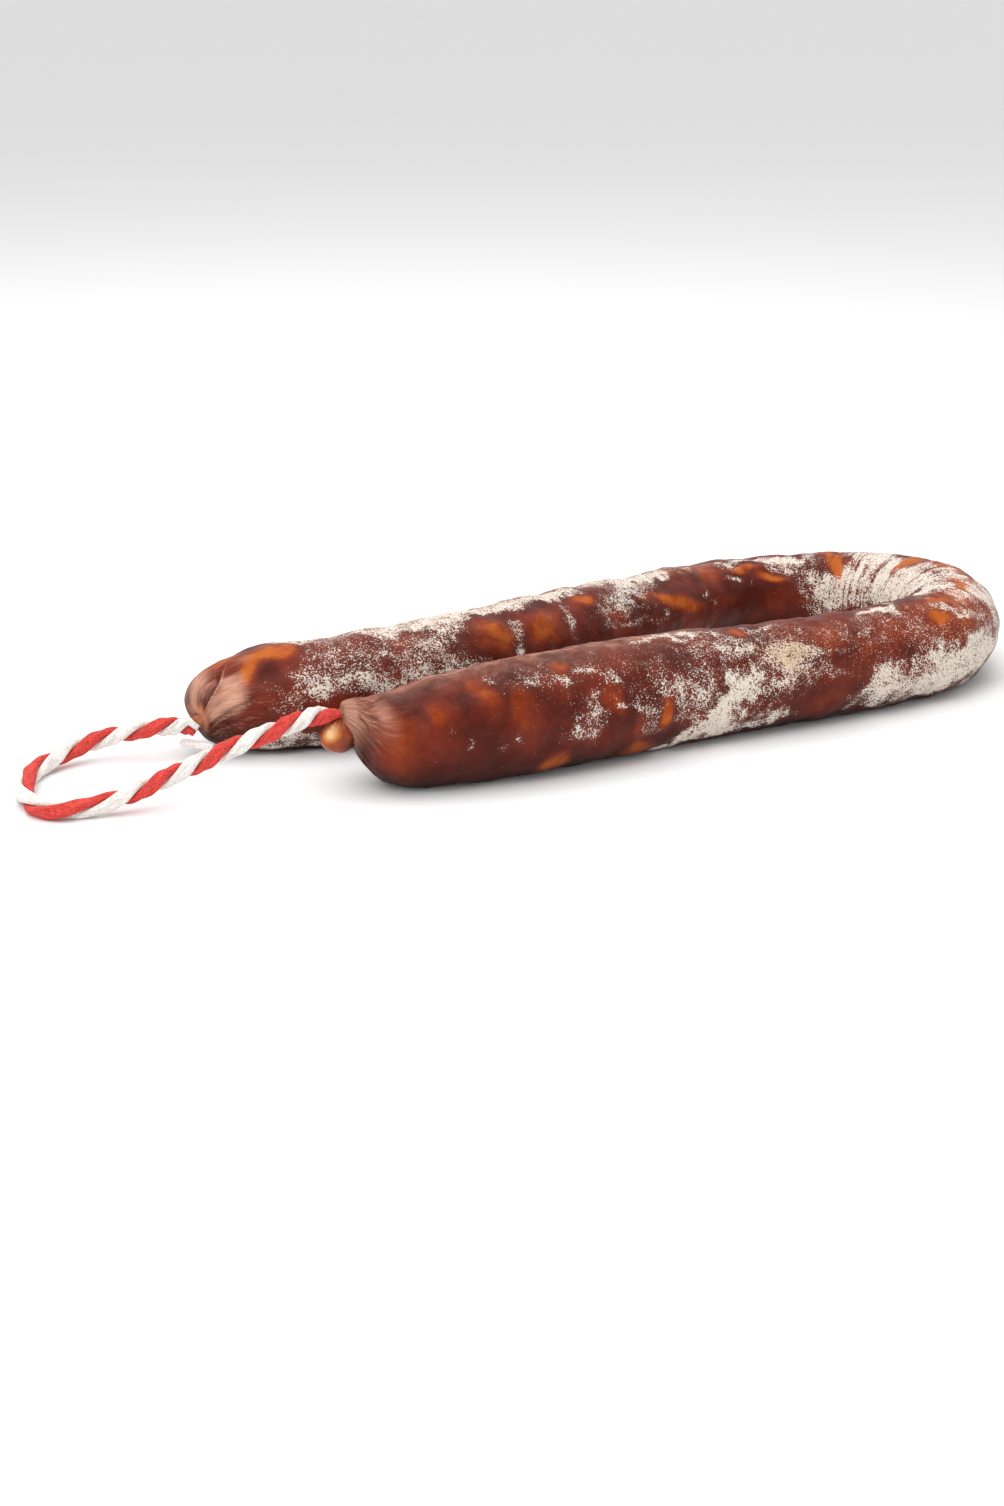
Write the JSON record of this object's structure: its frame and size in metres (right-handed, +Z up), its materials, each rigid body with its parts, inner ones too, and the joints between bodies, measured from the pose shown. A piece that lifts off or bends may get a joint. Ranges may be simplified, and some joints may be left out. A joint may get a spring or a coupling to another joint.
{
  "type": "cured sausage",
  "caption": "Dry-cured horseshoe sausage lying flat in a wrinkled, bloomed casing, its gathered ends tied together by a hanging loop of twisted red and white twine.",
  "frame": {"origin": "on the surface it lies on, under the middle of the sausage's bounding box with the twine left out", "axes": "+Z up, +X from the open tied ends towards the bend, the nearer leg on -Y"},
  "size_m": [0.348, 0.1248, 0.035],
  "materials": {
    "casing": "semi-gloss dry natural casing with pale bloom",
    "twine": "matt cotton, one red and one white strand"
  },
  "bodies": {
    "root": {"sausage": "casing", "twine": "twine", "twine_tail": "twine"}
  },
  "joints": []
}
